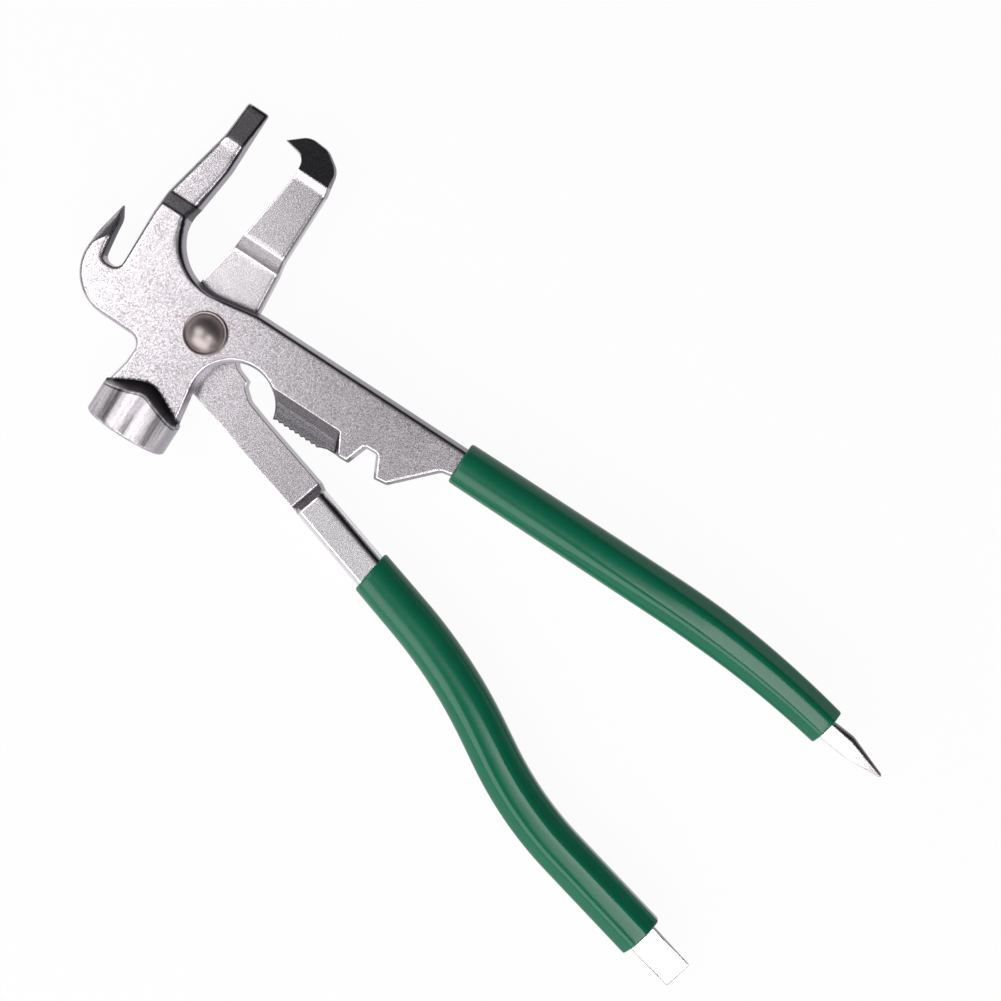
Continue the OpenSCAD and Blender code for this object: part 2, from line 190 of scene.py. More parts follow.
def gridPoints(loop, onCreases, step):
    low, high = loop.min(0), loop.max(0)
    rows = np.arange(low[1], high[1], step * 0.866)
    grid = np.array([
        (x + (step / 2 if k % 2 else 0), y)
        for k, y in enumerate(rows) for x in np.arange(low[0], high[0], step)
    ])
    grid = grid[insideLoop(grid, loop)]
    grid = grid[loopDistance(grid, loop) > forging["rowDepths"][-1] + 0.3]
    keep = np.ones(len(grid), bool)
    for first in range(0, len(grid), 2000):
        gaps = grid[first:first + 2000, None, :] - onCreases[None]
        keep[first:first + 2000] = (gaps ** 2).sum(2).min(1) > forging["clearOfCrease"] ** 2
    return grid[keep]


def forgedPlate(outline, creases, topAt, bottomAt, wallAt, shoulderAt, paintedShadingAt, blend,
                outlineStep=0.45, gridStep=0.8):
    loop = evenLoop(roundCorners(outline), outlineStep)
    if (loop[:, 0] * np.roll(loop[:, 1], -1) - np.roll(loop[:, 0], -1) * loop[:, 1]).sum() < 0:
        loop = loop[::-1].copy()
    onCreases = creasePoints(creases, loop)
    points = np.concatenate([loop, *rowPoints(loop), onCreases, gridPoints(loop, onCreases, gridStep)])
    count = len(loop)
    flat, _, triangles, *_ = geometry.delaunay_2d_cdt(
        [Vector(p) for p in points], [(i, (i + 1) % count) for i in range(count)], [], 1, 1e-4, False)
    flat = np.array([p[:] for p in flat])
    triangles = np.array(triangles)
    triangles = triangles[insideLoop(flat[triangles].mean(1), loop)]
    depth = loopDistance(flat, loop)
    rim = depth < 1e-3
    x, y = flat[:, 0], flat[:, 1]
    topFace, bottomFace = topAt(x, y), bottomAt(x, y)
    parting = (topFace + bottomFace) / 2
    wall = wallAt(depth, x, y)
    # the face first rolls down over a shoulder, then the wall drops to the parting line
    slope, probe = forging["shoulderSlope"], forging["probe"]
    half = (topFace - bottomFace) / 2
    lip = half * probe / wallAt(np.full(len(x), probe), x, y)
    shoulder = np.minimum(shoulderAt(x, y), 0.7 * half / slope)
    roll = slope * (depth - lip - shoulder)
    soft = np.maximum(0.9 * slope * shoulder, 0.05)
    corner = np.clip(0.9 * (half - slope * shoulder), 0.05, blend)
    top = softMin(softMin(topFace, topFace + roll, soft), parting + wall, corner)
    bottom = softMax(softMax(bottomFace, bottomFace - roll, soft), parting - wall, corner)
    top, bottom = np.where(rim, parting, top), np.where(rim, parting, bottom)
    under = np.where(rim, np.arange(len(flat)), len(flat) + np.cumsum(~rim) - 1)
    corners = np.concatenate([np.column_stack([flat, top]), np.column_stack([flat, bottom])[~rim]])
    faces = triangles.tolist() + under[triangles][:, ::-1].tolist()
    paintedShading = paintedShadingAt(x, y, depth - lip)
    return {"corners": corners, "faces": faces, "paintedShading": np.concatenate([paintedShading, paintedShading[~rim]])}


def skinRings(rings, closed=(True, True)):
    size = len(rings[0])
    corners = np.array([p for ring in rings for p in ring])
    faces = []
    for i in range(len(rings) - 1):
        for k in range(size):
            a, b = i * size + k, i * size + (k + 1) % size
            faces.append((a, b, b + size, a + size))
    if closed[0]:
        faces.append(tuple(range(size - 1, -1, -1)))
    if closed[1]:
        last = (len(rings) - 1) * size
        faces.append(tuple(range(last, last + size)))
    return {"corners": corners, "faces": faces}


def sectionAt(place, height, section, slant=0):
    a = math.radians(place[2])
    ring = []
    for across, up in section:
        x, y = beside(place, across)
        back = -across * math.tan(math.radians(slant))
        ring.append((x + back * math.cos(a), y + back * math.sin(a), height + up))
    return ring


def stoodAt(part, place, height):
    a = math.radians(place[2])
    x, y, z = part["corners"].T
    part["corners"] = np.stack([place[0] + x * math.cos(a) - y * math.sin(a),
                                place[1] + x * math.sin(a) + y * math.cos(a), z + height], 1)
    return part


def paintLayers(mesh, turned, paintedShading):
    # the finishes read how sharply the surface turns at each point and how steeply it stands; steep walls
    # are painted darker as shade
    count = len(mesh.vertices)
    places = np.empty(count * 3)
    mesh.vertices.foreach_get("co", places)
    places = places.reshape(-1, 3)
    normals = np.empty(count * 3)
    mesh.vertices.foreach_get("normal", normals)
    normals = normals.reshape(-1, 3)
    ends = np.empty(len(mesh.edges) * 2, int)
    mesh.edges.foreach_get("vertices", ends)
    a, b = ends.reshape(-1, 2).T
    step = places[a] - places[b]
    turn = ((normals[a] - normals[b]) * step).sum(1) / np.maximum((step ** 2).sum(1), 1e-12) * mm
    total, weight = np.zeros(count), np.zeros(count)
    for end in (a, b):
        np.add.at(total, end, turn)
        np.add.at(weight, end, 1)
    turn = total / np.maximum(weight, 1)
    edge = np.clip((turn - 0.12) / 0.5, 0, 1)
    steep = np.clip((0.58 - np.abs(normals[:, 2])) / 0.14, 0, 1)
    for title, values in (("edge", edge), ("side", steep), ("turned", turned), ("paintedShading", paintedShading)):
        layer = mesh.attributes.new(title, "FLOAT", "POINT")
        layer.data.foreach_set("value", values)


def makePiece(name, parts, material, body, node, sharpAngle=38):
    corners, faces, turned, paintedShading = [], [], [], []
    for part in parts:
        shift, count = len(corners), len(part["corners"])
        corners += [(p[0] * mm, p[1] * mm, (p[2] + jointZ) * mm) for p in part["corners"]]
        faces += [tuple(i + shift for i in face) for face in part["faces"]]
        turned += list(np.broadcast_to(part.get("turned", 0.0), count))
        paintedShading += list(np.broadcast_to(part.get("paintedShading", 0.0), count))
    mesh = bpy.data.meshes.new(name)
    mesh.from_pydata(corners, [], faces)
    mesh.validate()
    mesh.shade_smooth()
    mesh.set_sharp_from_angle(angle=math.radians(sharpAngle))
    paintLayers(mesh, np.array(turned), np.array(paintedShading))
    piece = bpy.data.objects.new(name, mesh)
    scene.collection.objects.link(piece)
    mesh.materials.append(material)
    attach(piece, body)
    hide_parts(node)
    print("built", name, len(mesh.vertices), "points")


# node helpers

def addNode(tree, kind, inputs=(), **settings):
    node = tree.nodes.new(kind)
    for key, value in settings.items():
        setattr(node, key, value)
    for key, value in dict(inputs).items():
        if isinstance(value, bpy.types.NodeSocket):
            tree.links.new(value, node.inputs[key])
        else:
            node.inputs[key].default_value = value
    return node


def newGroup(name, inputs, outputs):
    group = bpy.data.node_groups.new(name, "ShaderNodeTree")
    for title, kind, default in inputs:
        socket = group.interface.new_socket(title, in_out="INPUT", socket_type=kind)
        socket.default_value = default
    for title in outputs:
        group.interface.new_socket(title, in_out="OUTPUT", socket_type="NodeSocketFloat")
    entry = group.nodes.new("NodeGroupInput")
    leave = group.nodes.new("NodeGroupOutput")
    return group, entry.outputs, leave.inputs


def fillGroup(tree, group, inputs):
    return addNode(tree, "ShaderNodeGroup", inputs, node_tree=group)


def calc(tree, operation, a, b=0.0, clamp=False):
    return addNode(tree, "ShaderNodeMath", {0: a, 1: b}, operation=operation, use_clamp=clamp).outputs[0]


def mixValue(tree, factor, a, b):
    return addNode(tree, "ShaderNodeMix", {0: factor, 2: a, 3: b}).outputs[0]


def mixColour(tree, factor, a, b):
    return addNode(tree, "ShaderNodeMix", {0: factor, 6: a, 7: b}, data_type="RGBA").outputs[2]


def remap(tree, value, fromLow, fromHigh, toLow, toHigh):
    return addNode(tree, "ShaderNodeMapRange", {
        0: value, 1: fromLow, 2: fromHigh, 3: toLow, 4: toHigh}).outputs[0]


def readLayer(tree, title):
    return addNode(tree, "ShaderNodeAttribute", attribute_name=title).outputs["Fac"]


def newMaterial(name):
    material = bpy.data.materials.new(name)
    material.use_nodes = True
    tree = material.node_tree
    return material, tree, tree.nodes["Principled BSDF"]


def addBump(tree, shader, height, strength, distance):
    bump = addNode(tree, "ShaderNodeBump", {"Height": height, "Strength": strength, "Distance": distance})
    tree.links.new(bump.outputs[0], shader.inputs["Normal"])


# blasted grain: fine pits and pale specks all over a forging
def buildGrain():
    group, given, out = newGroup("blastedGrain", [
        ("Place", "NodeSocketVector", (0, 0, 0)), ("Fineness", "NodeSocketFloat", 1800.0),
        ("Clouding", "NodeSocketFloat", 90.0)], ["Speckle", "Cloud", "Height"])
    fine = addNode(group, "ShaderNodeTexNoise", {
        "Vector": given["Place"], "Scale": given["Fineness"], "Detail": 1.5, "Roughness": 0.65})
    pits = addNode(group, "ShaderNodeTexVoronoi", {
        "Vector": given["Place"], "Scale": calc(group, "MULTIPLY", given["Fineness"], 0.9)})
    cloud = addNode(group, "ShaderNodeTexNoise", {
        "Vector": given["Place"], "Scale": given["Clouding"], "Detail": 4.0, "Roughness": 0.6})
    group.links.new(remap(group, fine.outputs[0], 0.3, 0.58, 0.0, 1.0), out["Speckle"])
    group.links.new(cloud.outputs[0], out["Cloud"])
    height = calc(group, "ADD", calc(group, "MULTIPLY", fine.outputs[0], 0.9),
                  calc(group, "MULTIPLY", pits.outputs[0], 0.15))
    group.links.new(height, out["Height"])
    return group


# wear along the edges, broken up by the grain
def buildWear():
    group, given, out = newGroup("edgeWear", [
        ("Edge", "NodeSocketFloat", 0.0), ("Breakup", "NodeSocketFloat", 0.5),
        ("Amount", "NodeSocketFloat", 0.7)], ["Mask"])
    broken = calc(group, "SUBTRACT", calc(group, "MULTIPLY", given["Edge"], 1.6),
                  calc(group, "MULTIPLY", given["Breakup"], 0.7), clamp=True)
    group.links.new(calc(group, "MULTIPLY", broken, given["Amount"], clamp=True), out["Mask"])
    return group


grainGroup, wearGroup = buildGrain(), buildWear()
print("finish groups built")


def layGrain(tree, style):
    # the grain and the worn edges that every finish starts from
    place = addNode(tree, "ShaderNodeTexCoord").outputs["Object"]
    grain = fillGroup(tree, grainGroup, {
        "Place": place, "Fineness": style["grain"], "Clouding": style["clouding"]}).outputs
    wear = fillGroup(tree, wearGroup, {
        "Edge": readLayer(tree, "edge"), "Breakup": grain["Speckle"], "Amount": style["wear"]})
    return place, grain, wear.outputs["Mask"]


platedSteel = {
    "colour": (0.94, 0.885, 0.93, 1),
    "shade": (0.165, 0.152, 0.162, 1),
    # painted shade on steep walls, painted black shade, and a paler colour painted on as light
    "paintedWallShade": (0.34, 0.315, 0.36, 1),
    "paintedShadeColour": (0.05, 0.047, 0.053, 1),
    "paintedLightColour": (0.97, 0.94, 0.965, 1),
    "wornColour": (0.85, 0.83, 0.86, 1),
    "wear": 0.06,
    "grain": 3300.0,
    "clouding": 160.0,
    "streaks": 1300.0,
    "streakStretch": (1.0, 0.06, 1.0),
    "roughness": (0.27, 0.33),
    "turnedRoughness": (0.28, 0.4),
    "bump": 0.00012,
    "bumpStrength": 0.2,
}


def makePlatedSteel(style):
    material, tree, shader = newMaterial("satinPlatedSteel")
    place, grain, wear = layGrain(tree, style)
    edge, side, turned, paintedShading = (readLayer(tree, title) for title in ("edge", "side", "turned", "paintedShading"))
    # the turned hammer has streaks along its axis
    pulled = addNode(tree, "ShaderNodeVectorMath", {
        0: place, 1: style["streakStretch"]}, operation="MULTIPLY").outputs[0]
    streak = addNode(tree, "ShaderNodeTexNoise", {
        "Vector": pulled, "Scale": style["streaks"], "Detail": 3.0, "Roughness": 0.55}).outputs[0]
    drawn = remap(tree, streak, 0.35, 0.65, 0, 1)
    speckle = grain["Speckle"]
    tone = calc(tree, "ADD", calc(tree, "MULTIPLY", speckle, 0.75),
                calc(tree, "MULTIPLY", grain["Cloud"], 0.25))
    tone = mixValue(tree, turned, tone, mixValue(tree, 0.55, tone, drawn))
    colour = mixColour(tree, tone, style["shade"], style["colour"])
    # steep walls are painted darker, a painted shade
    colour = mixColour(tree, calc(tree, "MULTIPLY", side, 0.85), colour, style["paintedWallShade"])
    # a high value paints black shade over the surface, a low one only over its pits, and a negative value
    # paints light onto it
    pitting = calc(tree, "MULTIPLY", tone, remap(tree, paintedShading, 0.5, 0.8, 0.45, 0.1))
    paintedDark = calc(tree, "SUBTRACT", calc(tree, "MULTIPLY", paintedShading, 1.25), pitting, clamp=True)
    colour = mixColour(tree, paintedDark, colour, style["paintedShadeColour"])
    paintedLight = calc(tree, "MULTIPLY", paintedShading, -1, clamp=True)
    colour = mixColour(tree, paintedLight, colour, style["paintedLightColour"])
    colour = mixColour(tree, wear, colour, style["wornColour"])
    tree.links.new(colour, shader.inputs["Base Color"])
    sheen, matt = style["roughness"]
    rough = remap(tree, speckle, 0, 1, matt, sheen)
    rough = mixValue(tree, turned, rough, remap(tree, drawn, 0, 1, *style["turnedRoughness"]))
    rough = calc(tree, "MULTIPLY", rough, remap(tree, edge, 0, 1, 1, 0.8))  # edges are rubbed smoother
    tree.links.new(rough, shader.inputs["Roughness"])
    shader.inputs["Metallic"].default_value = 1
    addBump(tree, shader, grain["Height"], style["bumpStrength"], style["bump"])
    return material


rivetSteel = {
    "colour": (0.52, 0.45, 0.445, 1),
    "shade": (0.24, 0.2, 0.195, 1),
    "wornColour": (0.7, 0.68, 0.68, 1),
    "wear": 0.03,
    "grain": 1100.0,
    "clouding": 260.0,
    "roughness": (0.36, 0.4),
    "bump": 0.00003,
    "bumpStrength": 0.2,
}


def makeRivetSteel(style):
    material, tree, shader = newMaterial("polishedRivetSteel")
    _, grain, wear = layGrain(tree, style)
    cloud = grain["Cloud"]
    colour = mixColour(tree, cloud, style["shade"], style["colour"])
    colour = mixColour(tree, wear, colour, style["wornColour"])
    tree.links.new(colour, shader.inputs["Base Color"])
    tree.links.new(remap(tree, cloud, 0.3, 0.7, *style["roughness"]), shader.inputs["Roughness"])
    shader.inputs["Metallic"].default_value = 1
    addBump(tree, shader, grain["Height"], style["bumpStrength"], style["bump"])
    return material


greenVinyl = {
    "colour": (0.003, 0.16, 0.082, 1),
    "shade": (0.002, 0.13, 0.067, 1),
    "scuff": (0.02, 0.17, 0.1, 1),
    "wear": 0.12,
    "grain": 700.0,
    "clouding": 70.0,
    "headRoughness": 0.27,
    "tailRoughness": 0.15,
    "bump": 0.00008,
    "bumpStrength": 0.2,
    "refraction": 1.47,
}


def makeGreenVinyl(style):
    material, tree, shader = newMaterial("dippedGreenVinyl")
    _, grain, wear = layGrain(tree, style)
    cloud = grain["Cloud"]
    colour = mixColour(tree, cloud, style["shade"], style["colour"])
    colour = mixColour(tree, wear, colour, style["scuff"])
    tree.links.new(colour, shader.inputs["Base Color"])
    gloss = readLayer(tree, "turned")  # grows towards the sleeve's tail
    rough = remap(tree, gloss, 0, 1, style["headRoughness"], style["tailRoughness"])
    rough = calc(tree, "ADD", rough, remap(tree, cloud, 0.3, 0.7, -0.015, 0.015))
    tree.links.new(rough, shader.inputs["Roughness"])
    addBump(tree, shader, cloud, style["bumpStrength"], style["bump"])
    shader.inputs["IOR"].default_value = style["refraction"]
    return material


steelMaterial = makePlatedSteel(platedSteel)
rivetMaterial = makeRivetSteel(rivetSteel)
vinylMaterial = makeGreenVinyl(greenVinyl)
print("finishes built")


# the lever with the fixed jaw, the claw, the hammer and the straight handle

hammerLever = {
    "top": 7.0,
    "bottom": 0.05,
    "draft": 13.0,
    "edgeBlend": 1.0,
    "jawTop": ((22.2, 7), (25.7, 3.5), (42.6, 3.15), (43.2, 3.15), (45.0, 3.5), (45.8, 3.4), (56.8, 0.9)),
    "jawBottom": ((19.2, 0.05), (22.7, -3.45), (45.6, -3.2), (56.8, -0.7)),
    "clawFrom": (-37.4, 3.8),  # a point on the slanting line where the claw starts to thin
    "clawTurn": 54.0,
    "clawFall": 28.6,
    "gapMiddle": (15.4, -11.6),  # the rounded gap beside the pivot
    "gapRadius": 10.7,
    "teethFrom": (26.0, -9.5),
    "toothCount": 9,
    "toothPitch": 1.65,
    "toothDepth": 0.5,
    "ledge": ((-13, 2.0), (-10.5, 2.2), (-6.6, 3.2), (-4.4, 4.5), (-2.1, 7), (-1, 8)),
}


def hammerOutline(style):
    gap = arcPoints(style["gapMiddle"], style["gapRadius"], 196, 11.32, 30)
    teeth = []
    firstX, teethY = style["teethFrom"]
    for i in range(style["toothCount"]):
        x = firstX + i * style["toothPitch"]
        teeth += [(x + 0.2, teethY), (x + 1.07, teethY + style["toothDepth"])]
    return [
        (-23.6, 55.8, 0.8), (-24.4, 45.6, 12), (-28.9, 25.7, 8),  # outer side of the fixed jaw
        (-28.2, 1.5, 1.9), (-32.5, 1.5, 1.9), (-34.0, 12.8, 5), (-36.4, 16.4, 0.3),  # slot and claw
        (-38.2, 7, 15), *arcPoints((-25.9, 1.75), 12.5, 180, 270, 20), (-13.7, -10.9, 6.5),
        (-13.9, -17.5, 6), (-15.5, -24.8), (6.7, -24.8), *gap, *teeth,  # neck of the hammer and the grip
        (42, -8.4, 0.8), (48.7, -8.2, 0.5), (50.7, -2.4, 0.5), (53.6, -2.3, 0.5), (56.4, -8, 0.5),
        (60.2, -7.5, 1), (70.3, 3, 2), (73.5, 3.7), (82, 3.8), (82, 11.9), (8.8, 11.9, 20), (-4.5, 9.6),
        *arcPoints((-4.8, 23.95), 14.35, 264, 182, 20), (-17.4, 37.8, 10), (-17.3, 55.8, 0.8),
    ]


def pastClawLine(x, y):
    a = math.radians(hammerLever["clawTurn"])
    lineX, lineY = hammerLever["clawFrom"]
    return -(x - lineX) * math.sin(a) + (y - lineY) * math.cos(a)


def hammerTop(x, y):
    plate = hammerLever["top"]
    top = np.where(y > 15, softProfile(y, hammerLever["jawTop"]), plate)
    thinned = plate - math.tan(math.radians(hammerLever["clawFall"])) * pastClawLine(x, y)
    top = np.where((x < -30.3) & (y < 18), softMin(top, thinned, 0.25), top)
    pastLedge = (x - 42.7) * 0.879 + (y + 2.1) * 0.476  # past the line that ends the ledge
    ledge = softMax(softProfile(y, hammerLever["ledge"]), plate + 3.2 * pastLedge, 0.3)
    return np.where((x > 17) & (x < 50) & (y < -1), softMin(top, ledge, 0.3), top)


def hammerBottom(x, y):
    jaw = softProfile(y, hammerLever["jawBottom"])
    return np.where((y > 15) & (x < -10), jaw, hammerLever["bottom"])


def hammerWall(depth, x, y):
    upright = 10 * np.exp(-(((x + 30.2) / 3.2) ** 2 + ((y - 1.4) / 2.6) ** 2))  # at the end of the slot
    return depth / np.tan(np.radians(hammerLever["draft"] - upright))


def hammerShoulder(x, y):
    # the edges round the throat and along the back of the handle roll over widely
    back = np.clip((y - 8) / 1.5, 0, 1) * np.clip((x + 23) / 2, 0, 1) * np.clip((43 - y) / 3, 0, 1)
    throat = np.exp(-(((x + 17.5) / 5) ** 2 + ((y - 22) / 9) ** 2))
    left = np.clip((-12 - x) / 4, 0, 1) * (1 - back) * (1 - throat) * (y > -17)
    slot = np.exp(-(((x + 30.5) / 4) ** 2 + ((y - 7) / 7) ** 2))
    return 0.15 + 0.4 * back + 0.6 * throat + (0.5 - 0.35 * slot) * left


# painted shading: 1 is painted black shade, 0 is the bare plating and -1 is painted light
hammerTones = {
    "step": 0.76,
    "claw": 0.44,
    "slotWall": 0.75,
    "ledge": 0.73,
    "ledgeFlare": 0.07,
    "jawTip": -0.7,
    "rolled": 0.9,
    "rolledLeft": 0.58,
    "face": 0.08,
    "handle": 0.18,
    "throat": 0.3,
    "backEdge": 0.3,
    "underLedge": 0.95,
    "underNotch": 0.65,
}


def hammerPaintedShading(x, y, depth):
    tones = hammerTones
    jaw = (y > 15) & (x > -30)
    step = jaw & (y > 22.0) & (y < 25.8)
    tip = jaw & (y > 45.8)
    claw = (x < -30.3) & (y < 18) & (pastClawLine(x, y) > 0.1)
    ledge = (x > 17) & (x < 45.6) & (y < -2.0) & (hammerTop(x, y) < 6.95)
    flare = np.clip((-y - 4.2) / 2.0, 0, 1)
    # painted shade: the face greys a little everywhere, more in the throat, along the handle and towards
    # the handle's back edge
    paintedFaceShade = tones["throat"] * np.exp(-(((x + 15.5) / 3) ** 2 + ((y - 22) / 7) ** 2)) + tones["face"]
    paintedFaceShade += tones["handle"] * np.clip((x - 15) / 45, 0, 1) * np.clip((y + 6) / 14, 0.4, 1)
    nearEdge = np.exp(-np.maximum(depth, 0) / 1.3) * (y > 5)
    paintedFaceShade += tones["backEdge"] * nearEdge * np.clip((x - 10) / 30, 0, 1)
    # rolled edges are painted black as shade where they are wide, and less so on the left
    shoulder = hammerShoulder(x, y)
    rolled = np.clip((shoulder + 0.1 - depth) / 0.25, 0, 1) * np.clip((depth + 0.15) / 0.1, 0, 1)
    rolled = rolled * np.clip((shoulder - 0.2) / 0.2, 0, 1)
    rolled = rolled * np.where((x < -22) | ((x < -12.5) & (y < 5)), tones["rolledLeft"], 1)
    # painted shade on the walls below the ledge and the notch, in the slot, and in the crease at the foot
    # of the hammer
    under = np.where(y < -6.2, tones["underLedge"], tones["underNotch"] * (x > 59))
    under = under * ((x > 41.5) & (y < 4) & (depth < -0.05))
    slot = (x > -38) & (x < -31.6 - 0.13 * y) & (x < -32.4) & (y > 2.5) & (y < 17.5) & (depth < 0.1)
    foot = np.interp(x, *zip(*hammerHead["foot"]))
    footShade = np.clip(1.4 - 1.6 * np.abs(y - foot), 0, 0.9) * (y < -17)
    return np.maximum.reduce([
        tones["step"] * step, tones["claw"] * claw, tones["slotWall"] * slot,
        ledge * (tones["ledge"] + tones["ledgeFlare"] * flare),
        np.where(tip, tones["jawTip"], paintedFaceShade), tones["rolled"] * rolled, under, footShade])


hammerHead = {
    "axisX": -4.4,
    "radius": 11.4,
    "face": -33.3,
    "back": -24.3,
    "chamfer": 0.7,
    "foot": ((-15.8, -24.0), (-13.1, -22.5), (-9.7, -20.4), (-6.3, -18.9), (-3.6, -18.6), (-0.9, -19.6),
             (1.6, -20.9), (4.1, -22.1), (7.0, -24.0)),
    "crest": ((-15.8, -24.6), (-13.5, -24.0), (-10.0, -23.1), (-7.0, -22.1), (-4.6, -21.0), (-2.6, -21.1),
              (-0.4, -22.1), (3.7, -23.9), (5.9, -24.7), (7.0, -25.0)),
    # painted shade: the hollow is painted dark, greying towards a pale crest line, then a painted dark line
    # below it, then the bare cylinder
    "tones": (1.0, 1.0, 1.0, 0.95, 0.85, 0.75, 0.65, 0.6, 0.5, 0.2, 0.0, 0.1, 0.75, 0.7),
    "steps": 144,
}


def softCurve(points, x):
    return float(softProfile(np.array([x]), points, 0.7)[0])


def hammerColumn(style, angle):
    # one line of points from the plate over the crest and along the cylinder to the striking face
    r, axis = style["radius"], style["axisX"]
    out, up = math.sin(angle), math.cos(angle)

    def onAxis(share, y):
        return axis + r * out * share, y, hammerMid + r * up * share

    plate = hammerLever["top"]
    x, _, z = onAxis(1, 0)
    if z > plate - 0.1:
        foot, crest = softCurve(style["foot"], x), softCurve(style["crest"], x)
        column = [(x, foot + 0.3, plate - 0.6)]
        column += [(x, foot + (crest - foot) * t ** 0.8, plate + (z - plate) * t) for t in
                   (0.0, 0.08, 0.2, 0.35, 0.52, 0.7, 0.85, 0.94)]
        column += [(x, crest - 0.04, z - 0.1), (x, crest - 0.16, z - 0.02)]
    else:
        crest = style["back"]
        column = [onAxis(share, crest) for share in
                  (0.8 if z > 0 else 0.02, 0.86, 0.9, 0.92, 0.94, 0.95, 0.96, 0.97, 0.98)]
        column += [onAxis(0.99, crest - 0.04), (x, crest - 0.16, z)]
    column += [(x, crest - drop, z) for drop in (0.3, 0.45, 0.8)]
    start, end = crest - 1.1, style["face"] + style["chamfer"]
    column += [(x, start + (end - start) * t, z) for t in (0, 0.25, 0.5, 0.75, 0.93, 0.985)]
    for push, shrink in ((0.1, 0.06), (0.3, 0.24), (0.5, 0.46), (0.62, 0.62), (0.7, 0.95)):
        column.append(onAxis((r - shrink) / r, end - push))
    return column + [onAxis(share, style["face"]) for share in (0.88, 0.7, 0.4, 0.05)]


def hammerHeadPart(style):
    columns = [hammerColumn(style, 2 * math.pi * i / style["steps"]) for i in range(style["steps"])]
    rings = list(zip(*columns))
    part = skinRings(rings, (False, True))
    part["turned"] = 1.0
    tones = list(style["tones"]) + [0.0] * (len(rings) - len(style["tones"]))
    part["paintedShading"] = np.repeat(tones, style["steps"])
    return part


straightHandle = {
    "start": (60, 7.85, 0),
    "route": [(76, 0), (150, -275)],  # a straight stretch, then a bend towards the other handle
    "end": 129.9,
    "width": ((0, 8.1), (89.9, 8.1), (129.9, 6.6)),
    "height": ((0, 7), (89.9, 7), (129.9, 5.5)),
    "sleeveFrom": 12.9,
    "sleeveWall": 2.0,
    "boreBeyond": 0.3,  # bore beyond the handle's own half width
    "barFrom": 20,
    "barHalfWidths": (3.6, 3.4),
    "barHalfHeights": (3.1, 2.9),
}

handlePoint = {
    "plan": ((-6, -3.0), (1.8, -3.1, 6), (8.7, -2.5, 18), (18.6, 0.15, 0.5), (19.3, 0.7, 0.4),
             (18.6, 1.2, 0.4), (6.9, 3.2, 5), (0.7, 2.5, 3), (-6, 2.4)),
    "thick": ((-6, 2.5), (4, 2.5), (8, 2.3), (12, 1.85), (16, 1.2), (19.3, 0.45)),
    "spine": ((-6, 1.2), (6.9, 2.0), (18.9, 0.75)),  # between its two facets
    "secondFall": 0.75,
}


def pointPart(style):
    def spineAt(x):
        return np.interp(x, *zip(*style["spine"]))

    def topAt(x, y):
        # the side towards the jaws falls away as a second facet
        thick = softProfile(x, style["thick"], 1.2)
        return softMin(thick, thick - style["secondFall"] * (y - spineAt(x)), 0.15)

    def paintedShadingAt(x, y, depth):
        # painted shade on the facet towards the jaws, painted light on the rest, fading out towards the tip
        return np.where(y > spineAt(x) + 0.1, 0.85, -0.6 + 0.6 * np.clip((x - 6) / 10, 0, 1))

    part = forgedPlate(
        style["plan"], [[(-5, 1.3), (6.9, 2.2), (18, 0.9)]], topAt, lambda x, y: -topAt(x, y),
        lambda depth, x, y: depth * 6, lambda x, y: 0 * x + 0.1, paintedShadingAt, 0.25, 0.3, 0.5)
    return stoodAt(part, placeOn(straightHandle, straightHandle["end"]), hammerMid)


def softOctagon(w, h, crispness, count=96):
    section = []
    for k in range(count):
        a = 2 * math.pi * k / count
        c, s = math.cos(a), math.sin(a)
        sides = (c, s, (c + s) / 1.42, (c - s) / 1.42)
        reach = sum(abs(v) ** crispness for v in sides) ** (-1 / crispness)
        section.append((w * c * reach, h * s * reach))
    return section


def innerBar(handle, height):
    # the stretch of a handle inside its sleeve
    ends = handle["barFrom"], handle["end"] - 0.6
    rings = []
    for s in np.linspace(*ends, 25):
        w, h = np.interp(s, ends, handle["barHalfWidths"]), np.interp(s, ends, handle["barHalfHeights"])
        rings.append(sectionAt(placeOn(handle, s), height, softOctagon(w, h, 8, 32)))
    return skinRings(rings)


hammerCreases = [
    [(-30, 22.2), (-12, 22.2)], [(-30, 25.7), (-12, 25.7)], [(-27, 45.6), (-15, 45.6)],
    [(-38.6, 2.2), (-32.6, 10.4)], [(17, -2.1), (42.7, -2.1), (45.3, -6.9), (46, -8.4)],
    [(19, -5.4), (43.5, -5.4)], [(-30, 19.2), (-12, 19.2)],
]
hammerSlab = forgedPlate(hammerOutline(hammerLever), hammerCreases, hammerTop, hammerBottom, hammerWall,
                         hammerShoulder, hammerPaintedShading, hammerLever["edgeBlend"])
hammerBar = innerBar(straightHandle, hammerMid)
makePiece("hammerLeverForging", [hammerSlab, hammerHeadPart(hammerHead), pointPart(handlePoint), hammerBar],
          steelMaterial, "hammer_side", "hammer_lever")


# the lever with the hooked jaw and the curved handle

firstBend, firstRadius = math.radians(14.4), 140  # away from the other handle
secondBend, secondRadius = math.radians(17.5), 100  # and back

curvedHandle = {
    "start": (43.85, -21.6, -16.6),
    "route": [(41.5, 0), (firstBend * firstRadius, -firstRadius), (8.2, 0),
              (secondBend * secondRadius, secondRadius), (200, 0)],
    "end": 145.7,
    "width": 9.9,
    "height": 8.0,
    "sleeveFrom": 25.9,
    "sleeveWall": 1.35,
    "sleeveSlant": 9,
    "barFrom": 30,
    "barHalfWidths": (4.6, 4.75),
    "barHalfHeights": (3.7, 3.85),
}

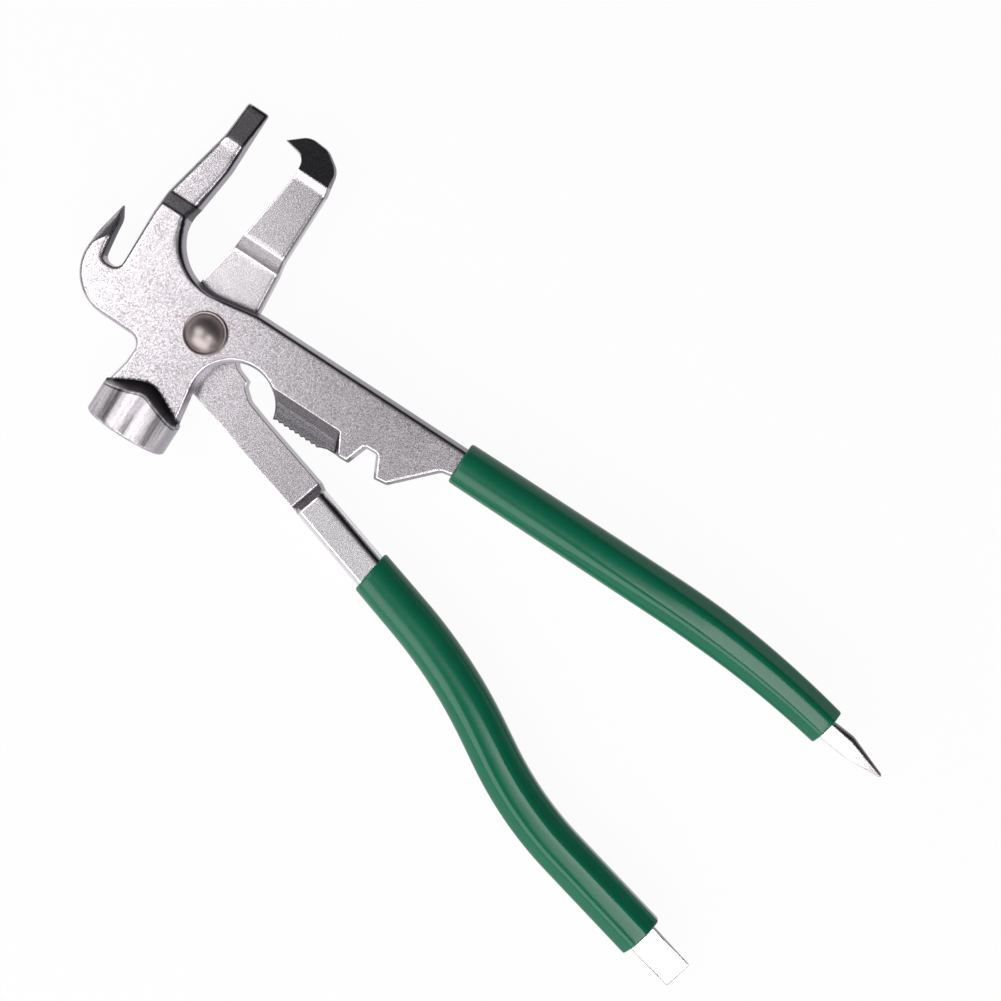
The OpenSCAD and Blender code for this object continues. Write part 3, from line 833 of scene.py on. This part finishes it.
hookLever = {
    "top": -0.05,
    "bottom": -7.0,
    "draft": 7.0,
    "edgeBlend": 0.8,
    "slabInside": 33.0,  # how far along the handle the forged plate runs, into the sleeve
    "jawTop": ((22.2, -0.05), (26.8, 3.5), (46.1, 2.9), (48.3, 3.9), (57.9, 0.7)),
    "jawBottom": ((21.6, -7), (25.6, -3.5), (48.3, -3.3), (57.9, -0.7)),
    "stepTop": ((0, -0.05), (2.2, 4)),  # the handle steps up to the height of its sleeve
    "stepBottom": ((0.2, -7), (2.8, -4)),
    # painted light on the jaw and the bar, painted shade on the tip, the step and the rolled edges
    "jawPaintedLight": -0.35,
    "barPaintedLight": -0.65,
    "tipTone": 0.7,
    "stepTone": 0.45,
    "rolledTone": 0.8,
}


def hookOutline(style):
    half = curvedHandle["width"] / 2
    root, inside = placeOn(curvedHandle, 2.0), placeOn(curvedHandle, style["slabInside"])
    return [
        (-10.4, 52.8, 0.2), (-3.9, 51.5, 3.2), (-3.5, 46.3, 6), (-5.9, 28.5, 20),  # inner side of the jaw
        (-9.9, 9.4), (-12.4, -1.5, 8), (-7.5, -13, 8), (3.7, -15.7, 6), (17.8, -19.2, 30), (23, -21, 10),
        (*beside(root, -half), 3), beside(inside, -half), beside(inside, half),  # handle
        (*beside(root, half - 0.1), 3), (25.1, -11.3, 30), (18.2, -9.1, 4), (15.3, -6.6, 2),
        (15.1, -5.1, 0.4), (10, -3.2, 3),  # notch beside the pivot, then the outer side of the jaw
        (7.9, 11.5, 20), (6.8, 25, 30), (6.7, 46.5, 8), (5.5, 53.3, 5), (0.6, 56.6, 5), (-5.4, 57.07, 5),
    ]


def alongBar(x, y):
    startX, startY, heading = curvedHandle["start"]
    a = math.radians(heading)
    return (x - startX) * math.cos(a) + (y - startY) * math.sin(a)


def acrossBar(x, y):
    startX, startY, heading = curvedHandle["start"]
    a = math.radians(heading)
    return -(x - startX) * math.sin(a) + (y - startY) * math.cos(a)


def onBar(x, y):
    return np.where(x > 30, np.clip(alongBar(x, y) / 2.2 + 0.3, 0, 1), 0)


def hookTop(x, y):
    step = np.where(x > 30, softProfile(alongBar(x, y), hookLever["stepTop"]), hookLever["top"])
    return np.where(y > 15, softProfile(y, hookLever["jawTop"]), step)


def hookBottom(x, y):
    step = np.where(x > 30, softProfile(alongBar(x, y), hookLever["stepBottom"]), hookLever["bottom"])
    return np.where(y > 15, softProfile(y, hookLever["jawBottom"]), step)


def hookWall(depth, x, y):
    draft = np.where((x > 9) & (y < 6), 2.5, hookLever["draft"])
    plate = depth / np.tan(np.radians(draft))
    bevelled = np.minimum(depth * 8, np.where(acrossBar(x, y) > 0, 2.3 + 1.4 * depth, 1.5 + 1.9 * depth))
    share = onBar(x, y)
    return plate * (1 - share) + bevelled * share


def hookShoulder(x, y):
    bar = np.where(acrossBar(x, y) > 0, 0.7, 0.1) * onBar(x, y)
    jaw = 0.3 * np.clip((y - 8) / 3, 0, 1) * np.clip(x / 3, 0, 1)
    return 0.15 + jaw + bar


def hookPaintedShading(x, y, depth):
    # painted shade on the tip, the step and the rolled edges, painted light on the rest of the jaw and on
    # the bar
    tip = np.clip((y - 48.2) / 0.4, 0, 1)
    step = (x > 30) & (alongBar(x, y) > 0) & (alongBar(x, y) < 2.3)
    shoulder = hookShoulder(x, y)
    rolled = np.clip((shoulder + 0.1 - depth) / 0.3, 0, 1) * np.clip((shoulder - 0.2) / 0.3, 0, 1)
    rolled = rolled * np.clip((depth + 0.15) / 0.1, 0, 1)
    paintedLight = hookLever["jawPaintedLight"] * np.clip((y - 8) / 6, 0, 1) * (np.abs(y - 47) > 1.6)
    paintedLight = paintedLight + hookLever["barPaintedLight"] * onBar(x, y)
    dark = hookLever["tipTone"] * tip + hookLever["stepTone"] * step
    dark = np.maximum(dark, hookLever["rolledTone"] * rolled)
    return np.where(np.maximum(tip, rolled) + step > 0.05, dark, paintedLight)


pryBlade = {
    "width": 8.5,
    "length": 14.3,
    "root": 5.0,  # how far its root runs back into the sleeve
    "rootHalf": 2.0,
    "edgeHalf": 0.5,
    "thinsFrom": 7.0,
}


def bladePart(style):
    half, end, bend = style["width"] / 2, style["length"] + style["root"], style["thinsFrom"]
    thick = ((0, style["rootHalf"]), (bend, style["rootHalf"]), (end, style["edgeHalf"]))
    plan = ((0, -half), (end, -half + 0.2, 0.6), (end, half - 0.2, 0.6), (0, half))
    # painted shade along the edges, darker on one side, and painted light over the blade
    part = forgedPlate(
        plan, [[(bend, -half), (bend, half)]], lambda x, y: softProfile(x, thick),
        lambda x, y: -softProfile(x, thick), lambda depth, x, y: depth * 8, lambda x, y: 0 * x + 0.08,
        lambda x, y, depth: np.where(depth < 0.25, np.where(y < 0, 0.85, 0.55), -0.72), 0.25, 0.3, 0.7)
    part["turned"] = 0.7
    return stoodAt(part, placeOn(curvedHandle, curvedHandle["end"] - style["root"]), 0)


hookCreases = [[(-9, y), (8, y)] for y in (22.6, 26.3)]
hookCreases += [[(-6, y), (8, y)] for y in (46.3, 48.3)]
for s, _ in hookLever["stepTop"]:
    hookCreases.append([beside(placeOn(curvedHandle, s), across) for across in (-6, 6)])
hookSlab = forgedPlate(hookOutline(hookLever), hookCreases, hookTop, hookBottom, hookWall,
                       hookShoulder, hookPaintedShading, hookLever["edgeBlend"])
makePiece("hookLeverForging", [hookSlab, bladePart(pryBlade), innerBar(curvedHandle, 0)],
          steelMaterial, "hook_side", "hook_lever")


# the rivet, with a domed head and a peened back

pivotRivet = {
    "headRadius": 5.85,
    "ringRadius": 5.0,
    "ringHeight": 1.15,
    "headHeight": 3.3,
    "shank": 4.0,
    "steps": 96,
}


def rivetPart(style):
    # the dome stands in a narrow ring that leans inwards, with a rounded rim
    r, ring, shank = style["headRadius"], style["ringRadius"], style["shank"]
    dome = style["headHeight"] - style["ringHeight"]
    domeRadius = (ring * ring + dome * dome) / (2 * dome)
    plate, back, end = hammerLever["top"], hookLever["bottom"], -jointZ
    rise = plate + style["ringHeight"]
    profile = [(0.02, rise + dome)]
    for k in range(1, 25):
        radius = (ring - 0.08) * k / 24
        profile.append((radius, rise + dome - domeRadius + math.sqrt(domeRadius ** 2 - radius ** 2)))
    profile += [
        (ring + 0.04, rise - 0.03), (ring + 0.2, rise + 0.08), (ring + 0.4, rise + 0.24),  # ring and rim
        (r - 0.34, rise + 0.26), (r - 0.2, rise + 0.1), (r - 0.05, rise - 0.3), (r, plate + 0.2),
        (r - 0.15, plate - 0.02), (shank, plate - 0.05), (shank, back - 0.05),  # shank through both levers
        (r - 0.1, back - 0.05), (r, back - 0.2), (r, end + 0.7), (r - 0.12, end + 0.45),  # peened end
        (r - 0.45, end + 0.1), (r - 0.9, end + 0.01), (r - 1.6, end), (r * 0.5, end), (0.02, end),
    ]
    angles = [2 * math.pi * i / style["steps"] for i in range(style["steps"])]
    rings = [[(radius * math.cos(a), radius * math.sin(a), z) for a in angles] for radius, z in profile]
    part = skinRings(rings)
    part["faces"] = [face[::-1] for face in part["faces"]]
    return part


makePiece("pivotRivetTurned", [rivetPart(pivotRivet)],
          rivetMaterial, "hammer_side", "pivot_rivet")


# the two vinyl sleeves

sleeves = {
    "headRim": 0.7,
    "tailRim": 0.45,
    "ringStep": 1.5,
    "crispness": ((0, 6), (0.3, 9), (0.6, 20), (1, 26)),  # the section grows squarer towards the tail
    "sectionPoints": 96,
    "sharpAngle": 50,
}


def sleevePart(handle, height, sizeAt, boreAt, slantAt):
    first, last = handle["sleeveFrom"], handle["end"]
    head, tail = sleeves["headRim"], sleeves["tailRim"]
    places = [(first + 4, boreAt, 0), (first + 0.3, boreAt, 0)]
    rim = [(1 - math.cos(t), 1 - math.sin(t)) for t in np.radians((0, 18, 36, 54, 72, 90))]
    places += [(first + head * along, sizeAt, head * inset) for along, inset in rim]
    middle = np.arange(first + head + 0.6, last - tail - 0.6, sleeves["ringStep"])
    places += [(s, sizeAt, 0) for s in middle]
    places += [(last - tail * along, sizeAt, tail * inset) for along, inset in reversed(rim)]
    places += [(last - 0.3, boreAt, 0), (last - 4, boreAt, 0)]
    rings = []
    for s, measureAt, inset in places:
        w, h = measureAt(s)
        crispness = float(np.interp((s - first) / (last - first), *zip(*sleeves["crispness"])))
        section = softOctagon(w - inset, h - inset, crispness, sleeves["sectionPoints"])
        rings.append(sectionAt(placeOn(handle, s), height, section, slantAt(s)))
    part = skinRings(rings, (False, False))
    share = np.array([(s - first) / (last - first) for s, _, _ in places])
    part["turned"] = np.repeat(np.clip((share - 0.1) / 0.4, 0, 1), sleeves["sectionPoints"])
    return part


def straightSize(s):
    wall = straightHandle["sleeveWall"]
    return tuple(np.interp(s, *zip(*straightHandle[key])) / 2 + wall for key in ("width", "height"))


def straightBore(s):
    wall = straightHandle["sleeveWall"] - straightHandle["boreBeyond"]
    return tuple(half - wall for half in straightSize(s))


def curvedSize(s):
    return tuple(curvedHandle[key] / 2 + curvedHandle["sleeveWall"] for key in ("width", "height"))


def curvedBore(s):
    return curvedHandle["width"] / 2, curvedHandle["height"] / 2 + 0.05


def curvedSlant(s):
    return curvedHandle["sleeveSlant"] * max(0, 1 - (s - curvedHandle["sleeveFrom"]) / 8)


grip = sleevePart(straightHandle, hammerMid, straightSize, straightBore, lambda s: 0)
makePiece("straightHandleSleeve", [grip],
          vinylMaterial, "hammer_side", "hammer_lever_grip", sleeves["sharpAngle"])
grip = sleevePart(curvedHandle, 0, curvedSize, curvedBore, curvedSlant)
makePiece("curvedHandleSleeve", [grip],
          vinylMaterial, "hook_side", "hook_lever_grip", sleeves["sharpAngle"])


# floor, lamps and camera

studio = {
    "floorColour": (0.93, 0.93, 0.93, 1),
    "floorWhite": 0.95,  # share of plain white that the camera sees, the rest shows the shadows
    "floorInGlossy": 0.8,
    # radius and height of a round floor that curves up into a low wall, so that a low view sees it too
    "floorSweep": ((0.001, 0), (1.2, 0), (3.2, 0), (3.5, 0.04), (3.75, 0.15), (3.92, 0.35), (4.0, 0.6),
                   (4.0, 0.95)),
    "floorDrop": 0.0004,
    "worldColour": (0.07, 0.07, 0.074, 1),
    "camera": (0.0870596, 0.0472459, 0.5983),
    "look": (-0.000083, -0.071175, -0.997464),
    "up": (-0.547573, 0.834639, -0.059511),
    "lens": 81.8182,
}

# where each lamp stands, where it points, its width and height, and its brightness
lamps = {
    "frontSoftbox": ((0.08, -0.88, 0.74), (0.08, 0.0, 0.0), 1.6, 0.85, 2.5),
    "leftSoftbox": ((-0.5, -0.16, 0.96), (0.0, 0.0, 0.0), 0.5, 0.7, 2.75),
    "rightSoftbox": ((0.43, -0.2, 1.0), (0.15, -0.03, 0.0), 0.28, 0.5, 4.3),
    "rightLowSoftbox": ((0.85, -0.25, 0.85), (0.08, 0.0, 0.0), 0.4, 0.6, 1.1),
}


def addSoftbox(name, place, aim, width, height, radiance):
    light = bpy.data.lights.new(name, "AREA")
    light.shape = "RECTANGLE"
    light.size, light.size_y = width, height
    light.energy = radiance * math.pi * width * height
    lamp = bpy.data.objects.new(name, light)
    lamp.location = place
    lamp.rotation_mode = "QUATERNION"
    lamp.rotation_quaternion = (Vector(aim) - Vector(place)).to_track_quat("-Z", "Y")
    scene.collection.objects.link(lamp)


def makePalePaper(style):
    material, tree, shader = newMaterial("palePaper")
    shader.inputs["Base Color"].default_value = style["floorColour"]
    shader.inputs["Roughness"].default_value = 0.9
    shader.inputs["Specular IOR Level"].default_value = 0.0
    path = addNode(tree, "ShaderNodeLightPath").outputs
    seen = calc(tree, "MAXIMUM", path["Is Camera Ray"], path["Is Transmission Ray"])
    mirrored = calc(tree, "MULTIPLY", path["Is Glossy Ray"], style["floorInGlossy"])
    seen = calc(tree, "MAXIMUM", seen, mirrored)
    glow = addNode(tree, "ShaderNodeEmission", {"Color": (1, 1, 1, 1), "Strength": 1.0})
    mixed = addNode(tree, "ShaderNodeMixShader", {
        0: calc(tree, "MULTIPLY", seen, style["floorWhite"]), 1: shader.outputs[0], 2: glow.outputs[0]})
    tree.links.new(mixed.outputs[0], tree.nodes["Material Output"].inputs["Surface"])
    return material


def buildFloor(style):
    angles = [math.pi * k / 32 for k in range(64)]
    rings = [[(r * math.cos(a), r * math.sin(a), h - style["floorDrop"]) for a in angles]
             for r, h in style["floorSweep"]]
    sheet = skinRings(rings, (True, False))
    mesh = bpy.data.meshes.new("studioFloor")
    mesh.from_pydata(sheet["corners"].tolist(), [], [face[::-1] for face in sheet["faces"]])
    mesh.shade_smooth()
    mesh.materials.append(makePalePaper(style))
    floor = bpy.data.objects.new("studioFloor", mesh)
    scene.collection.objects.link(floor)


def buildWorld(style):
    world = bpy.data.worlds.new("studioWorld")
    world.use_nodes = True
    background = world.node_tree.nodes["Background"]
    background.inputs["Color"].default_value = style["worldColour"]
    background.inputs["Strength"].default_value = 1.0
    scene.world = world


def buildCamera(style):
    camera = bpy.data.objects.new("photoCamera", bpy.data.cameras.new("photoCamera"))
    camera.data.lens = style["lens"]
    camera.data.sensor_width = 36
    camera.data.sensor_fit = "HORIZONTAL"
    camera.data.clip_start, camera.data.clip_end = 0.01, 20
    look, up = Vector(style["look"]).normalized(), Vector(style["up"]).normalized()
    right = look.cross(up).normalized()
    up = right.cross(look)
    turn = Matrix((right, up, -look)).transposed().to_4x4()
    camera.matrix_world = Matrix.Translation(style["camera"]) @ turn
    scene.collection.objects.link(camera)
    scene.camera = camera


buildFloor(studio)
buildWorld(studio)
for name, setup in lamps.items():
    addSoftbox(name, *setup)
buildCamera(studio)
print("studio built")
